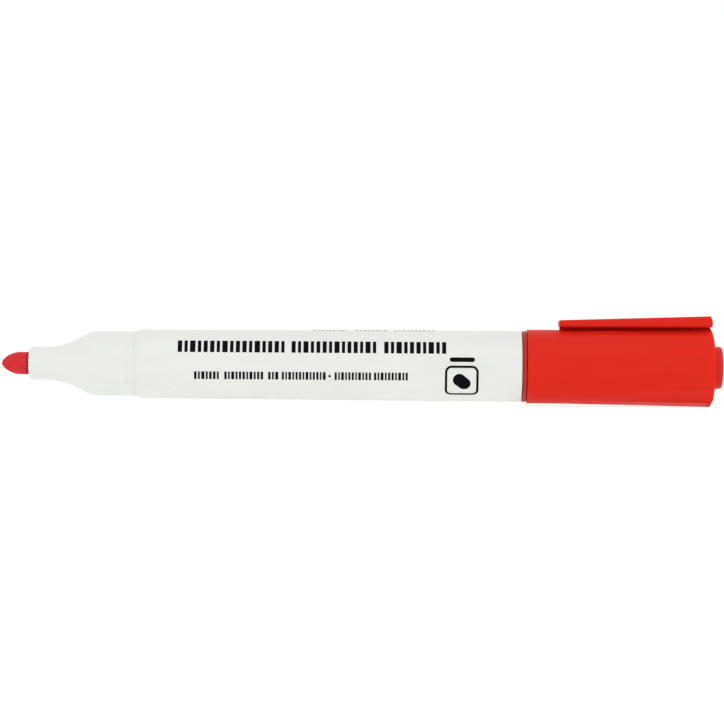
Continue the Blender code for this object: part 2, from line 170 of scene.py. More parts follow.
# Rear plug
COLLAR_FRONT = BARREL_END + 0.18
COLLAR_END = CAP_MOUTH - 0.2
BOSS_BEAD_STATION = 108.2
BOSS_BEAD_HALF_WIDTH = 0.5
BOSS_WALL = 1.1
PLUG_RADIUS = 5.82
PLUG_LEAD = 0.6
PLUG_LEAD_RADIUS = 5.5
PLUG_LEDGE = 106.5
PLUG_WELL_RADIUS = 4.0
GATE_RADIUS = 0.9
GATE_DEPTH = 0.12

# Cap
CAP_EDGE = CAP_MOUTH - 0.06
CAP_MOUTH_RADIUS = 7.375
CAP_PARALLEL_END = 111.6
CAP_CORNER = 141.6
CAP_CHAMFER = 142.03
CAP_CHAMFER_RADIUS = 7.1
CROWN_SHOULDER = 142.3
CROWN_SHOULDER_RADIUS = 5.6
CROWN_TOP = 142.42
CROWN_INNER = 141.0
CAP_BORE = 6.75
CAP_REAR_BORE = 6.45
CAP_RING_STATION = 109.3
CAP_RING_RADIUS = 6.62
CAP_RING_HALF_WIDTH = 0.4
FLUTES = 12
FLUTE_START = 119.0
FLUTE_FULL = 135.0
FLUTE_DEPTH = 0.1
# How far the painted highlight on the cap's ridges reaches from each ridge, and how long the painted glow
# at its rear rim is.
RIDGE_REACH = math.radians(3.75)
RIM_LENGTH = 1.2

# Liner
BUTTON_RADIUS = 4.23
BUTTON_ROUNDING = 0.75
BUTTON_HOLE_RADIUS = BUTTON_RADIUS + 0.05
LINER_BORE = 3.47
LINER_END = 142.6
LINER_LIP_BORE = 4.4
LINER_LIP_RADIUS = 4.75
LINER_LIP_LENGTH = 1.6
FLANGE_FRONT = 139.7
FLANGE_END = 140.7

# Clip: the heights of its underside and top are given at its free end and over its root.
# The insets that round its two ends are (distance from the end, inset).
CLIP_END = 141.9
CLIP_TAPER_END = LENGTH - 2.2
CLIP_UNDERSIDES = (7.9, 8.02)
CLIP_TOPS = (9.28, CLIP_TOP_Z - 0.02)
CLIP_TOP_ROUNDING = 0.35
CLIP_LOW_ROUNDING = 0.6
CLIP_CROWN = 0.1
CLIP_STEPS = 60
CLIP_FRONT_INSETS = ((0.0, 0.30), (0.05, 0.18), (0.14, 0.07), (0.3, 0.0))
CLIP_END_INSETS = ((0.4, 0.02), (0.25, 0.06), (0.1, 0.16), (0.0, 0.32))
CLIP_LEAN_LENGTH = 0.6
CLIP_LEAN_DEPTH = 0.9
KEEL_WIDTH = 1.8
KEEL_SINK = 0.02
KEEL_STEPS = 40
WEB_START = CLIP_ROOT + 0.25
WEB_END = 141.5
WEB_HALF_WIDTH = 1.5
WEB_LOW = 6.9
WEB_HIGH = 8.25
WEB_STEPS = 12

# Print: a group of bars is (start, end, count). Heights are arc lengths up from the barrel's near side.
PRINT_HEIGHT = 0.02
PRINT_DEPTH = 0.04
PRINT_STEP = 0.3
BAR_SHARES = (1.0, 0.75, 1.25, 0.8, 0.95)
TITLE_GROUPS = ((35.4, 56.6, 17), (58.0, 74.8, 14), (76.4, 88.7, 10))
TITLE_MIDDLE = 3.84
NOTE_GROUPS = (
    (38.7, 43.6, 7),
    (44.7, 52.4, 11),
    (53.4, 55.4, 3),
    (56.1, 64.8, 13),
    (66.6, 73.8, 11),
    (74.4, 81.1, 10),
)
NOTE_MIDDLE = -2.2
NOTE_DOT = 65.6
TOP_GROUPS = ((62.2, 69.0, 9), (70.6, 77.0, 8), (78.4, 86.4, 10))
TOP_STATION = 74.0
TOP_BELOW_CREST = 0.45
STROKE_MIDDLE = (91.9, 1.28)
STROKE_SIZE = (5.0, 0.9)
MARK_MIDDLE = (91.82, -3.25)
MARK_SIZE = (3.8, 2.6)
MARK_TURN = math.radians(-40)
MARK_FRAME_SIZE = 6.69
MARK_FRAME_LINE = 0.46
MARK_FRAME_ROUNDING = 1.3

# The mesh attribute that says how much painted light a place gets: painted highlights on the lugs and
# ridges, a painted glow on the cap's rim.
PAINTED_LIGHT_ATTRIBUTE = "painted_light"

# ---------------------------------------------------------------- shape tools


def world(station, across, height):
    """The world point at a station, this far behind the axis (+Y) and this far above it."""
    return Vector((NIB_TIP_X + station * MM, across * MM, AXIS_Z + height * MM))


def smooth_step(low, high, value):
    t = min(max((value - low) / (high - low), 0.0), 1.0)
    return t * t * (3 - 2 * t)


def between(a, b, share):
    return a + (b - a) * share


def filleted(points):
    """Replaces each (a, b, fillet) corner of an outline by an arc. A corner of two numbers stays sharp."""
    rounded = []
    for index, point in enumerate(points):
        corner = Vector(point[:2])
        if len(point) == 2 or index in (0, len(points) - 1):
            rounded.append(corner)
            continue
        back = Vector(points[index - 1][:2]) - corner
        ahead = Vector(points[index + 1][:2]) - corner
        half_angle = back.angle(ahead) / 2
        reach = min(point[2] / math.tan(half_angle), 0.49 * back.length, 0.49 * ahead.length)
        start = corner + back.normalized() * reach
        end = corner + ahead.normalized() * reach
        for step in range(FILLET_STEPS + 1):
            t = step / FILLET_STEPS
            rounded.append((1 - t) ** 2 * start + 2 * t * (1 - t) * corner + t ** 2 * end)
    return rounded


def divided(outline, longest):
    """Splits an outline's long straights, so that the mesh has rings where its surface bends later."""
    points = [outline[0]]
    for point in outline[1:]:
        pieces = max(1, math.ceil((point - points[-1]).length / longest))
        start = points[-1]
        points += [start.lerp(point, piece / pieces) for piece in range(1, pieces + 1)]
    return points


def divided_near(outline, station, reach):
    """Adds points to an outline's outer side near a station, so that a fine bump has rings there."""
    points = [outline[0]]
    for point in outline[1:]:
        start = points[-1]
        near = abs((start.x + point.x) / 2 - station) < reach and start.y > NOSE_CORNER_RADIUS - 0.1
        pieces = 5 if near else 1
        points += [start.lerp(point, piece / pieces) for piece in range(1, pieces + 1)]
    return points


def finished(name, verts, faces, material, body, replaced=(), sharp=40):
    """A shaded object from world points, riding on its body."""
    mesh = bpy.data.meshes.new(name)
    mesh.from_pydata(verts, [], faces)
    bm = bmesh.new()
    bm.from_mesh(mesh)
    bmesh.ops.remove_doubles(bm, verts=bm.verts, dist=0.0005 * MM)
    bmesh.ops.dissolve_degenerate(bm, edges=bm.edges, dist=0.0001 * MM)
    bmesh.ops.recalc_face_normals(bm, faces=bm.faces)
    bm.to_mesh(mesh)
    bm.free()
    mesh.materials.append(material)
    mesh.shade_smooth()
    mesh.set_sharp_from_angle(angle=math.radians(sharp))
    obj = bpy.data.objects.new(name, mesh)
    bpy.context.scene.collection.objects.link(obj)
    if body:
        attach(obj, body)
    if replaced:
        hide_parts(*replaced)
    return obj


def lathe(outline, form=None):
    """Points and faces of a (station, radius) outline turned about the axis.

    The outline's ends are both on the axis, or they are joined to each other. form(station, angle, radius)
    may give another radius. Angle 0 is at the clip and grows towards the camera.
    """
    closed = outline[0][1] > 0
    verts = []
    for station, radius in outline:
        for step in range(ROUND):
            angle = FLUTE_PHASE + math.tau * step / ROUND
            r = form(station, angle, radius) if form and radius > 0 else radius
            verts.append(world(station, -r * math.sin(angle), r * math.cos(angle)))
    faces = []
    rings = len(outline)
    for ring in range(rings if closed else rings - 1):
        here, there = ring * ROUND, (ring + 1) % rings * ROUND
        for step in range(ROUND):
            after = (step + 1) % ROUND
            faces.append((here + step, here + after, there + after, there + step))
    return verts, faces


def mark_painted_light(piece, painted_light):
    """Marks each point with how much painted light it gets, from 0 to 1, as a function of its station and
    angle.
    """
    marks = piece.data.attributes.new(PAINTED_LIGHT_ATTRIBUTE, "FLOAT", "POINT")
    for vert in piece.data.vertices:
        station = (vert.co.x - NIB_TIP_X) / MM
        marks.data[vert.index].value = painted_light(station, math.atan2(-vert.co.y, vert.co.z - AXIS_Z))


def lofted(sections):
    """Points and faces of rings of world points with the same count, closed by a face at each end."""
    count = len(sections[0])
    verts = [point for section in sections for point in section]
    faces = [tuple(range(count)), tuple(range(len(verts) - count, len(verts)))]
    for ring in range(len(sections) - 1):
        here, there = ring * count, (ring + 1) * count
        for step in range(count):
            after = (step + 1) % count
            faces.append((here + step, here + after, there + after, there + step))
    return verts, faces


def rounded_box_ring(station, half_width, low, high, top_rounding, low_rounding, crown=0.0, steps=6):
    """A bar's section across the axis: a rectangle with round corners and a slightly crowned top."""
    points = []
    corners = ((1, 1), (-1, 1), (-1, -1), (1, -1))
    for quarter, (side, level) in enumerate(corners):
        wanted = top_rounding if level > 0 else low_rounding
        rounding = min(wanted, 0.48 * (high - low), half_width * 0.9)
        for step in range(steps + 1):
            turn = math.pi / 2 * (quarter + step / steps)
            across = side * (half_width - rounding) + rounding * math.cos(turn)
            height = (high if level > 0 else low) - level * rounding + rounding * math.sin(turn)
            if level > 0:
                height += crown * (1 - (across / half_width) ** 2)
            points.append(world(station, across, height))
    return points


# ---------------------------------------------------------------- materials


class Nodes:
    """A short way to write a material's node tree. Lengths in its textures are millimetres."""

    def __init__(self, name):
        self.material = bpy.data.materials.new(name)
        self.material.use_nodes = True
        self.tree = self.material.node_tree
        self.shader = self.tree.nodes["Principled BSDF"]
        coords = self.tree.nodes.new("ShaderNodeTexCoord")
        self.coords = coords.outputs["Object"]

    def add(self, kind, inputs=None, **settings):
        made = self.tree.nodes.new(kind)
        for key, value in settings.items():
            setattr(made, key, value)
        for key, value in (inputs or {}).items():
            self.put(made.inputs[key], value)
        return made

    def put(self, socket, value):
        if isinstance(value, bpy.types.NodeSocket):
            self.tree.links.new(value, socket)
        else:
            socket.default_value = value

    def set(self, **inputs):
        for key, value in inputs.items():
            self.put(self.shader.inputs[key.replace("_", " ")], value)

    def space(self, scale):
        """Object coordinates in millimetres, times scale: 0.1 along X makes features ten times as long."""
        mapping = self.add("ShaderNodeMapping", {"Vector": self.coords})
        mapping.inputs["Scale"].default_value = [1000 * s for s in scale]
        return mapping.outputs["Vector"]

    def noise(self, scale, stretch=(1, 1, 1), detail=3.0, rough=0.5):
        made = self.add(
            "ShaderNodeTexNoise",
            {"Vector": self.space(stretch), "Scale": scale, "Detail": detail, "Roughness": rough},
        )
        return made.outputs["Fac"]

    def cells(self, scale, stretch=(1, 1, 1)):
        made = self.add("ShaderNodeTexVoronoi", {"Vector": self.space(stretch), "Scale": scale})
        return made.outputs["Distance"]

    def to_range(self, value, low, high, new_low, new_high):
        made = self.add(
            "ShaderNodeMapRange",
            {"Value": value, "From Min": low, "From Max": high, "To Min": new_low, "To Max": new_high},
        )
        return made.outputs["Result"]

    def math(self, operation, a, b):
        made = self.add("ShaderNodeMath", {0: a, 1: b}, operation=operation)
        return made.outputs[0]

    def blend(self, share, a, b):
        made = self.add("ShaderNodeMix", data_type="RGBA")
        colours = [socket for socket in made.inputs if socket.type == "RGBA"]
        self.put(made.inputs[0], share)
        self.put(colours[0], a)
        self.put(colours[1], b)
        return [socket for socket in made.outputs if socket.type == "RGBA"][0]

    def bump(self, height, distance, strength=1.0, normal=None):
        """A bump whose full height is distance millimetres."""
        inputs = {"Height": height, "Distance": distance * MM, "Strength": strength}
        if normal is not None:
            inputs["Normal"] = normal
        return self.add("ShaderNodeBump", inputs).outputs["Normal"]


def shade(colour, factor):
    return (*[min(channel * factor, 1.0) for channel in colour], 1.0)


def moulded_plastic(name, colour, roughness, grain=0.004, specular=0.35, glow=0.0, painted_light_strength=0.0):
    """Moulded polypropylene: faint flow marks, fine grain, draw lines along the mould and light scuffs.

    The places that a mesh marks in its painted-light attribute get a painted highlight or glow: this
    argument sets how far their colour is paled, and the mark also dulls them.
    """
    m = Nodes(name)
    flow = m.noise(0.22, (0.25, 1, 1), detail=4)
    speck = m.noise(5.0, detail=2)
    tone = m.math("ADD", m.to_range(flow, 0.3, 0.7, 0.0, 0.8), m.to_range(speck, 0.3, 0.7, 0.0, 0.2))
    tint = m.blend(tone, shade(colour, 0.965), shade(colour, 1.02))
    edge_roughness = 0.0
    if painted_light_strength:
        # Painted light: marked places are paled towards a brighter colour as a painted highlight or glow,
        # and made rougher.
        painted_light_mark = m.add("ShaderNodeAttribute", attribute_name=PAINTED_LIGHT_ATTRIBUTE).outputs["Fac"]
        tint = m.blend(m.math("MULTIPLY", painted_light_mark, painted_light_strength), tint, shade(colour, 1.25))
        edge_roughness = m.math("MULTIPLY", painted_light_mark, 0.5)
    m.set(Base_Color=tint)
    draw_lines = m.noise(3.2, (0.03, 1, 1), detail=2, rough=0.6)
    rubbed = m.noise(0.6, detail=5, rough=0.65)
    scuff = m.to_range(m.noise(6.0, (0.05, 1, 1), detail=3, rough=0.7), 0.62, 0.72, 0.0, 0.5)
    worn = m.math("MULTIPLY", scuff, m.to_range(rubbed, 0.5, 0.62, 0.0, 1.0))
    even = m.to_range(rubbed, 0.3, 0.7, roughness - 0.05, roughness + 0.06)
    roughened = m.math("ADD", even, m.math("MULTIPLY", worn, 0.25))
    m.set(Roughness=m.math("ADD", roughened, edge_roughness))
    sink = m.bump(m.noise(0.16, (0.5, 1, 1), detail=1), 0.03)
    lines = m.bump(draw_lines, 0.0035, normal=sink)
    fine = m.bump(m.noise(11.0, detail=2), grain, normal=lines)
    m.set(Normal=m.bump(worn, -0.004, normal=fine), Specular_IOR_Level=specular, IOR=1.49)
    if glow:
        m.set(Subsurface_Weight=glow, Subsurface_Radius=(1.0, 0.9, 0.8), Subsurface_Scale=0.8 * MM)
    return m.material


def felt(name, bright, dark, along=0.08, coarse=5.0, used_and_base_shaded=False):
    """Bonded ink fibres that run along the marker, with pores between the bundles.

    A nib that has written has a browned tip, and it is darkened where it goes into its holder, as painted
    shade.
    """
    m = Nodes(name)
    fibres = m.noise(coarse, (along, 1, 1), detail=5, rough=0.7)
    mottle = m.noise(0.9, detail=4, rough=0.6)
    pores = m.to_range(m.cells(2.6, (0.35, 1, 1)), 0.05, 0.4, 0.0, 1.0)
    tone = m.to_range(fibres, 0.32, 0.62, 0.2, 1.0)
    tone = m.math("MULTIPLY", tone, m.to_range(mottle, 0.3, 0.6, 0.45, 1.0))
    tone = m.math("MULTIPLY", tone, m.to_range(pores, 0.0, 1.0, 0.55, 1.0))
    tint = m.blend(tone, (*dark, 1.0), (*bright, 1.0))
    if used_and_base_shaded:
        along_x = m.add("ShaderNodeSeparateXYZ", {"Vector": m.space((1, 1, 1))}).outputs["X"]
        tip = NIB_TIP_X / MM
        at_tip = m.to_range(along_x, tip + 1.2, tip + NIB_TIP_LENGTH, 1.0, 0.0)
        brown = m.math("MULTIPLY", at_tip, m.to_range(mottle, 0.42, 0.6, 0.0, 1.0))
        tint = m.blend(brown, tint, (0.60, 0.035, 0.014, 1.0))
        # Painted shade: the nib darkens where it goes into the nose's hole.
        base_shade = m.to_range(along_x, tip + NOSE_FRONT - 0.65, tip + NOSE_FRONT - 0.3, 0.0, 1.0)
        tint = m.blend(base_shade, tint, (0.33, 0.012, 0.016, 1.0))
    m.set(Base_Color=tint)
    m.set(Roughness=m.to_range(fibres, 0.3, 0.7, 0.72, 0.95), Specular_IOR_Level=0.25)
    tufts = m.bump(m.noise(1.6, (0.4, 1, 1), detail=3), 0.09)
    strands = m.bump(fibres, 0.05, normal=tufts)
    m.set(Normal=m.bump(pores, 0.04, normal=strands))
    return m.material


def print_ink(name):
    """Screen-printed black ink: a little uneven, with the mesh's fine texture."""
    m = Nodes(name)
    cover = m.noise(4.0, detail=4, rough=0.7)
    thin, full = (0.008, 0.0075, 0.0085, 1.0), (0.003, 0.003, 0.004, 1.0)
    m.set(Base_Color=m.blend(m.to_range(cover, 0.3, 0.72, 0.0, 1.0), full, thin))
    m.set(Roughness=m.to_range(cover, 0.3, 0.7, 0.5, 0.68), Specular_IOR_Level=0.02)
    m.set(Normal=m.bump(m.noise(9.0, detail=2), 0.006))
    return m.material


def clear_film(name):
    """Thin wrap film with fine creases along it."""
    m = Nodes(name)
    creases = m.noise(1.4, (0.05, 1, 1), detail=4, rough=0.7)
    m.set(Base_Color=m.blend(creases, (0.72, 0.73, 0.74, 1), (0.92, 0.92, 0.93, 1)))
    m.set(Roughness=m.to_range(creases, 0.3, 0.7, 0.1, 0.28), Normal=m.bump(creases, 0.05))
    return m.material


# The white's paler places are a painted highlight on the crests of the nose's snap lugs.
WHITE = moulded_plastic("white_polypropylene", (0.825, 0.83, 0.802), 0.34, glow=0.06, painted_light_strength=0.35)
# The cap's red gets painted highlights on its ridges and a painted glow at its rear rim.
CAP_RED = moulded_plastic("cap_polypropylene", (0.735, 0.019, 0.008), 0.4, specular=0.12, painted_light_strength=0.4)
COLLAR_RED = moulded_plastic("collar_polypropylene", (0.50, 0.026, 0.02), 0.38, specular=0.2)
# A darker, duller red for the keel and web under the clip: painted shade in the gap under the arm.
RIB_RED_PAINTED_SHADE = moulded_plastic("rib_polypropylene_painted_shade", (0.42, 0.004, 0.001), 0.62, grain=0.008, specular=0.05)
LINER_RED = moulded_plastic("liner_polypropylene", (0.70, 0.022, 0.016), 0.42, grain=0.006, specular=0.15)
NIB_FELT = felt("nib_felt", (0.84, 0.036, 0.046), (0.52, 0.01, 0.02), used_and_base_shaded=True)
INK_FIBRE = felt("ink_fibre", (0.5, 0.012, 0.02), (0.22, 0.003, 0.006), along=0.02, coarse=7.0)
BLACK_INK = print_ink("black_print")
FILM = clear_film("reservoir_wrap")

# ---------------------------------------------------------------- reservoir


def dress_reservoir():
    """The reservoir and its film keep their CAD shapes and get looks of their own."""
    for node, material in (("ink_reservoir", INK_FIBRE), ("reservoir_film", FILM)):
        looks = frame["nodes"][node].data.materials
        looks.clear()
        looks.append(material)


# ---------------------------------------------------------------- nib


def nib_outline():
    """The bullet tip, the rod, and the tapered end that stays in the reservoir."""
    outline = [Vector((0.0, 0.0))]
    for ring in range(1, NIB_STEPS + 1):
        share = (ring / NIB_STEPS) ** 1.7
        outline.append(Vector((NIB_TIP_LENGTH * share, NIB_RADIUS * (1 - (1 - share) ** 1.5) ** 0.55)))
    outline.append(Vector((NOSE_FRONT + 1.0, NIB_RADIUS)))
    tail = ((NIB_END - NIB_TAIL_LENGTH, NIB_RADIUS), (NIB_END, NIB_TAIL_RADIUS), (NIB_END, 0.0))
    return divided(outline, longest=0.12) + [Vector(point) for point in tail]


def fuzzy(station, angle, radius):
    """The fibres' ends lift the nib's surface by a few hundredths of a millimetre."""
    seen = 1 - smooth_step(NOSE_FRONT - 0.4, NOSE_FRONT, station)
    across, height = radius * math.sin(angle), radius * math.cos(angle)
    strands = noise.noise(Vector((station * 0.9, across * 4.5, height * 4.5)))
    pits = noise.noise(Vector((station * 3.1, across * 3.1, height * 3.1)) + Vector((7, 7, 7)))
    lift = 0.022 * strands + 0.02 * pits - 0.02
    return max(radius + lift * seen * min(radius, 1.0), 0.01)


def make_nib():
    """The felt nib."""
    verts, faces = lathe(nib_outline(), form=fuzzy)
    return finished("nib_felt", verts, faces, NIB_FELT, "marker", ["nib"], sharp=80)


# ---------------------------------------------------------------- nose section


def nose_outline():
    """Front lip, neck, flare, cylinder with its groove, spigot, and back through the bore."""
    outline = [
        (NOSE_FRONT + 0.9, NOSE_HOLE_RADIUS),
        (NOSE_FRONT + 0.12, NOSE_HOLE_RADIUS, 0.1),
        (NOSE_FRONT, NOSE_HOLE_RADIUS + 0.14, 0.06),
        (NOSE_FRONT, NOSE_LIP_RADIUS, 0.08),
        (NOSE_FRONT + 0.16, NOSE_LIP_SHOULDER_RADIUS, 0.2),
        (NOSE_FRONT + 0.55, NOSE_NECK_RADIUS, 0.5),
    ]
    for step in range(FLARE_STEPS + 1):
        turn = NOSE_FLARE_ANGLE * step / FLARE_STEPS
        rise = NOSE_FLARE_RADIUS * (1 - math.cos(turn))
        outline.append((NOSE_NECK_END + NOSE_FLARE_RADIUS * math.sin(turn), NOSE_NECK_RADIUS + rise))
    arc_end = outline[-1]
    corner = arc_end[0] + (NOSE_CORNER_RADIUS - arc_end[1]) / math.tan(NOSE_FLARE_ANGLE)
    groove_radius = between(NOSE_CORNER_RADIUS, NOSE_CYLINDER_RADIUS, 0.85)
    outline += [
        (corner, NOSE_CORNER_RADIUS, 0.35),
        (LUG_STATION - LUG_RING_REACH, between(NOSE_CORNER_RADIUS, NOSE_CYLINDER_RADIUS, 0.6)),
        (LUG_STATION, between(NOSE_CORNER_RADIUS, NOSE_CYLINDER_RADIUS, 0.65)),
        (LUG_STATION + LUG_RING_REACH, between(NOSE_CORNER_RADIUS, NOSE_CYLINDER_RADIUS, 0.7)),
        (GROOVE_STATION - GROOVE_HALF_WIDTH, groove_radius, 0.05),
        (GROOVE_STATION, groove_radius - GROOVE_DEPTH, 0.05),
        (GROOVE_STATION + GROOVE_HALF_WIDTH, groove_radius, 0.05),
        (NOSE_SHOULDER, NOSE_CYLINDER_RADIUS, 0.05),
        (NOSE_SHOULDER, SPIGOT_RADIUS),
        (NOSE_END - SPIGOT_LEAD, SPIGOT_RADIUS, 0.2),
        (NOSE_END, SPIGOT_END_RADIUS),
        (NOSE_END, SPIGOT_BORE),
        (CAVITY_END, SPIGOT_BORE),
        (CAVITY_END, CAVITY_RADIUS),
        (CAVITY_FRONT, CAVITY_RADIUS),
        (FUNNEL_FRONT, FUNNEL_RADIUS),
    ]
    return filleted(outline)


def on_lug(station, angle):
    """How far a place is up one of the two snap lugs, from 0 to 1."""
    along = max(0.0, 1 - abs(station - LUG_STATION) / LUG_HALF_WIDTH)
    from_lug = abs((angle - LUG_ANGLE + math.pi / 2) % math.pi - math.pi / 2)
    return smooth_step(0.0, 1.0, along) * (1 - smooth_step(0.75, 1.0, from_lug / (LUG_SPAN / 2)))


def in_air_notch(station, angle, radius):
    """Whether a place is on one of the notches round the nib's hole."""
    offset = abs((angle + math.pi / AIR_NOTCHES) % (math.tau / AIR_NOTCHES) - math.pi / AIR_NOTCHES)
    near_hole = station < NOSE_FRONT + AIR_NOTCH_LENGTH and radius < NIB_RADIUS + 0.3
    return near_hole and offset < AIR_NOTCH_HALF_ANGLE


def notched_and_lugged(station, angle, radius):
    if in_air_notch(station, angle, radius):
        return radius + AIR_NOTCH_DEPTH
    if radius > NOSE_CORNER_RADIUS:
        return radius + SNAP_HEIGHT * on_lug(station, angle)
    return radius


def make_nose():
    """The nib holder, with air notches round the nib's hole and two low snap lugs for the cap."""
    outline = divided_near(nose_outline(), LUG_STATION, reach=0.4)
    verts, faces = lathe(outline, form=notched_and_lugged)
    nose = finished(
        "nose_shell", verts, faces, WHITE, "marker", ["nose_section"], sharp=50
    )
    # Painted highlight: the lugs' crests are paled.
    mark_painted_light(nose, on_lug)
    return nose


# ---------------------------------------------------------------- barrel and its print


def barrel_radius(station):
    share = (station - BARREL_FRONT) / (BARREL_END - BARREL_FRONT)
    return between(BARREL_FRONT_RADIUS, BARREL_END_RADIUS, share)


def make_barrel():
    """The tube, with a chamfered front lip and a crisp rear edge."""
    front = NOSE_SHOULDER + SEAM
    end = BARREL_END + 0.03
    full = BARREL_FRONT + BARREL_LIP_LENGTH
    outline = filleted(
        [
            (front + 1.0, BARREL_FRONT_BORE),
            (front, BARREL_FRONT_BORE),
            (front, BARREL_LIP_RADIUS, 0.05),
            (front + 0.25, BARREL_LIP_RADIUS + 0.02, 0.15),
            (full, barrel_radius(full), 0.5),
            (full + 3.0, barrel_radius(full + 3.0)),
            (end, BARREL_END_RADIUS, 0.12),
            (end, BARREL_END_BORE),
            (end - 1.0, BARREL_END_BORE),
        ]
    )
    verts, faces = lathe(divided(outline, longest=4.0))
    return finished("barrel_tube", verts, faces, WHITE, "marker", ["barrel"], sharp=50)


def wrapped(station, arc, lift):
    """The world point on the barrel at a station and an arc length up from its near side."""
    radius = barrel_radius(station) + lift
    angle = arc / barrel_radius(station)
    return world(station, -radius * math.cos(angle), radius * math.sin(angle))


def rounded_shape(centre, size, rounding, turn=0.0, steps=5):
    """The outline of a rectangle with round corners in the print's plane, turned about its centre."""
    half = Vector((size[0] / 2 - rounding, size[1] / 2 - rounding))
    points = []
    for quarter, (sx, sy) in enumerate(((1, 1), (-1, 1), (-1, -1), (1, -1))):
        for step in range(steps + 1):
            a = math.pi / 2 * (quarter + step / steps)
            point = Vector((sx * half.x + rounding * math.cos(a), sy * half.y + rounding * math.sin(a)))
            points.append(Vector(centre) + Matrix.Rotation(turn, 2) @ point)
    return points


def make_print(name, shapes, rings=()):
    """Printed shapes as thin slabs wrapped round the barrel. A ring is an outer and an inner outline."""
    bm = bmesh.new()
    for outline in shapes:
        bm.faces.new([bm.verts.new((p.x, p.y, 0)) for p in outline])
    for outer, inner in rings:
        outside = [bm.verts.new((p.x, p.y, 0)) for p in outer]
        inside = [bm.verts.new((p.x, p.y, 0)) for p in inner]
        for here in range(len(outer)):
            there = (here + 1) % len(outer)
            bm.faces.new((outside[here], outside[there], inside[there], inside[here]))
    heights = [vert.co.y for vert in bm.verts]
    cut = min(heights)
    while cut + PRINT_STEP < max(heights):
        cut += PRINT_STEP
        geometry = bm.verts[:] + bm.edges[:] + bm.faces[:]
        bmesh.ops.bisect_plane(bm, geom=geometry, plane_co=(0, cut, 0), plane_no=(0, 1, 0), dist=1e-5)
    slab = bmesh.ops.extrude_face_region(bm, geom=bm.faces[:])
    for item in slab["geom"]:
        if isinstance(item, bmesh.types.BMVert):
            item.co.z = PRINT_HEIGHT
    for vert in bm.verts:
        if vert.co.z == 0:
            vert.co.z = -PRINT_DEPTH
    verts = [wrapped(vert.co.x, vert.co.y, vert.co.z) for vert in bm.verts]
    bm.verts.index_update()
    faces = [[vert.index for vert in face.verts] for face in bm.faces]
    bm.free()
    return finished(name, verts, faces, BLACK_INK, "marker", sharp=30)


def bar_row(groups, middle, height, gap, rounding):
    """A row of plain upright bars. Each group is (start, end, count). Its bars' widths take turns."""
    shapes = []
    for start, end, count in groups:
        shares = [BAR_SHARES[index % len(BAR_SHARES)] for index in range(count)]
        unit = (end - start - gap * (count - 1)) / sum(shares)
        at = start
        for share in shares:
            width = share * unit
            shapes.append(rounded_shape((at + width / 2, middle), (width, height), rounding))
            at += width + gap
    return shapes


def make_prints():
    """Plain printed graphics in place of wording: rows of bars, a stroke sample, and a framed mark."""
    title = bar_row(TITLE_GROUPS, TITLE_MIDDLE, height=2.7, gap=0.46, rounding=0.1)
    make_print("print_title_bars", title)
    notes = bar_row(NOTE_GROUPS, NOTE_MIDDLE, height=1.6, gap=0.28, rounding=0.06)
    notes.append(rounded_shape((NOTE_DOT, NOTE_MIDDLE), (0.5, 0.5), rounding=0.24))
    make_print("print_note_bars", notes)
    make_print("print_stroke_sample", [rounded_shape(STROKE_MIDDLE, STROKE_SIZE, rounding=0.42)])
    inside = MARK_FRAME_SIZE - 2 * MARK_FRAME_LINE
    outer = rounded_shape(MARK_MIDDLE, (MARK_FRAME_SIZE, MARK_FRAME_SIZE), MARK_FRAME_ROUNDING)
    inner = rounded_shape(MARK_MIDDLE, (inside, inside), MARK_FRAME_ROUNDING - MARK_FRAME_LINE)
    make_print("print_icon_frame", [], [(outer, inner)])
    make_print("print_icon_mark", [rounded_shape(MARK_MIDDLE, MARK_SIZE, rounding=1.25, turn=MARK_TURN)])
    crest = barrel_radius(TOP_STATION) * math.pi / 2
    top = bar_row(TOP_GROUPS, crest - TOP_BELOW_CREST, height=1.3, gap=0.3, rounding=0.08)
    make_print("print_top_bars", top)


# ---------------------------------------------------------------- rear plug


def make_plug():
    """The collar that shows, the boss that the posted cap grips, and the spigot in the barrel."""
    boss = NOSE_CYLINDER_RADIUS
    outline = filleted(
        [
            (BOSS_END - BOSS_WALL, 0.0),
            (BOSS_END - BOSS_WALL, PLUG_WELL_RADIUS),
            (PLUG_LEDGE, PLUG_WELL_RADIUS),
            (PLUG_LEDGE, SPIGOT_BORE),
            (PLUG_FRONT, SPIGOT_BORE),
            (PLUG_FRONT, PLUG_LEAD_RADIUS),
            (PLUG_FRONT + PLUG_LEAD, PLUG_RADIUS),
            (COLLAR_FRONT, PLUG_RADIUS),
            (COLLAR_FRONT, BARREL_END_RADIUS, 0.12),
            (COLLAR_END, BARREL_END_RADIUS, 0.12),
            (COLLAR_END, boss),
            (BOSS_BEAD_STATION - BOSS_BEAD_HALF_WIDTH, boss, 0.3),
            (BOSS_BEAD_STATION, boss + SNAP_HEIGHT, 0.4),
            (BOSS_BEAD_STATION + BOSS_BEAD_HALF_WIDTH, boss, 0.3),
            (BOSS_END, boss, 0.6),
            (BOSS_END, GATE_RADIUS + 0.1, 0.05),
            (BOSS_END - GATE_DEPTH, GATE_RADIUS - 0.1, 0.05),
            (BOSS_END - GATE_DEPTH, 0.0),
        ]
    )
    verts, faces = lathe(divided(outline, longest=4.0))
    return finished(
        "plug_collar_and_boss", verts, faces, COLLAR_RED, "marker", ["rear_plug"]
    )


# ---------------------------------------------------------------- cap


def cap_radius(station):
    share = (station - CAP_PARALLEL_END) / (CAP_CORNER - CAP_PARALLEL_END)
    return between(CAP_MOUTH_RADIUS, CAP_REAR_RADIUS, max(share, 0.0))


